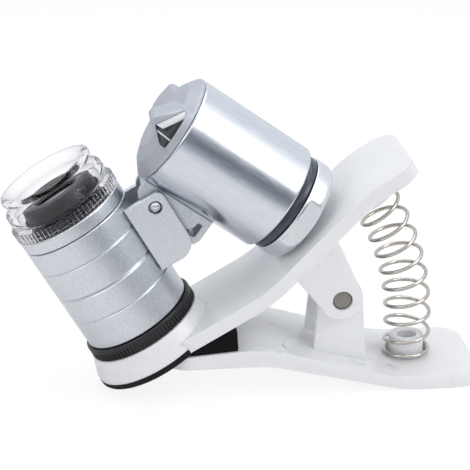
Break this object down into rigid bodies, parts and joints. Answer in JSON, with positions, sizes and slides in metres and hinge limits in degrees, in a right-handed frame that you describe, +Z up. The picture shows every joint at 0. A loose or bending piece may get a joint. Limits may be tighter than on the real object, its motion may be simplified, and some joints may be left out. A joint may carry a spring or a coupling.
{
  "type": "clip-on pocket microscope",
  "caption": "Spring clip carrying a short microscope barrel with a clear specimen cup and a hinged pen lamp, for use over a telephone's camera.",
  "frame": {"origin": "centre of the bounding box, on the table that the part lies on", "axes": "+X from the specimen cup to the clip's tail, +Y along the pivot pin, +Z up"},
  "size_m": [0.0776, 0.022, 0.0509],
  "materials": {
    "white_plastic": "glossy moulded white",
    "black_foam": "matte soft black",
    "pin_steel": "turned steel",
    "spring_steel": "nickel plated",
    "satin_silver": "satin metal",
    "black_plastic": "black",
    "clear_plastic": "clear",
    "lens_glass": "polished",
    "head_silver": "silver coated",
    "window_dark": "dark and glossy",
    "led_clear": "water clear",
    "board_green": "board",
    "cell_steel": "plated can",
    "contact_brass": "sheet",
    "dark_plastic": "dark grey",
    "cap_silver": "bright metal"
  },
  "bodies": {
    "lower_clip": {"clip_lower_arm": "white_plastic", "clip_pivot_pin": "pin_steel", "jaw_pad": "black_foam", "clip_spring": "spring_steel"},
    "scope": {"clip_upper_arm": "white_plastic", "phone_pad": "black_foam", "ring_adapter": "black_plastic", "barrel_shell": "satin_silver", "barrel_collar": "satin_silver", "clear_cup": "clear_plastic", "nose_tube": "black_plastic", "objective_lens": "lens_glass", "lens_retainer": "black_plastic", "hinge_rivet": "pin_steel"},
    "focus_wheel": {"focus_ring": "black_plastic"},
    "eyepiece": {"lens_tube": "black_plastic", "eyepiece_lens": "lens_glass"},
    "lamp": {"lamp_sleeve": "satin_silver", "lamp_head": "head_silver", "lamp_window_near": "window_dark", "lamp_window_far": "window_dark", "led_white": "led_clear", "led_uv": "led_clear", "led_board": "board_green", "battery_holder": "black_plastic", "contact_plate_rear": "contact_brass", "contact_plate_front": "contact_brass", "button_cell_1": "cell_steel", "button_cell_2": "cell_steel", "button_cell_3": "cell_steel", "switch_base": "dark_plastic", "lamp_bracket": "pin_steel"},
    "switch": {"switch_cap": "cap_silver"}
  },
  "joints": [
    {"name": "clip_open", "type": "hinge", "parent": "lower_clip", "child": "scope", "pos_m": [0.01548, 0, 0.0151], "axis": [0, 1, 0], "range_deg": [0, 30], "stiffness_Nm_per_rad": 0.12, "springref_deg": -40.11, "deforming": ["clip_spring"]},
    {"name": "focus_turn", "type": "hinge", "parent": "scope", "child": "focus_wheel", "pos_m": [-0.01718, 0, 0.01088], "axis": [-0.4982, 0, 0.8671], "range_deg": [-45, 45]},
    {"name": "lens_slide", "type": "slide", "parent": "scope", "child": "eyepiece", "axis": [-0.4982, 0, 0.8671], "range_m": [-0.00039, 0.00039]},
    {"name": "lamp_swing", "type": "hinge", "parent": "scope", "child": "lamp", "pos_m": [-0.01456, 0, 0.03182], "axis": [0, -1, 0], "range_deg": [0, 22]},
    {"name": "switch_turn", "type": "hinge", "parent": "lamp", "child": "switch", "pos_m": [0.00825, 0, 0.02921], "axis": [-0.8149, 0, 0.5796], "range_deg": [-30, 30]}
  ],
  "couplings": [
    {"joint": "focus_turn", "follows": "lens_slide", "rad_per_m": 2000}
  ]
}
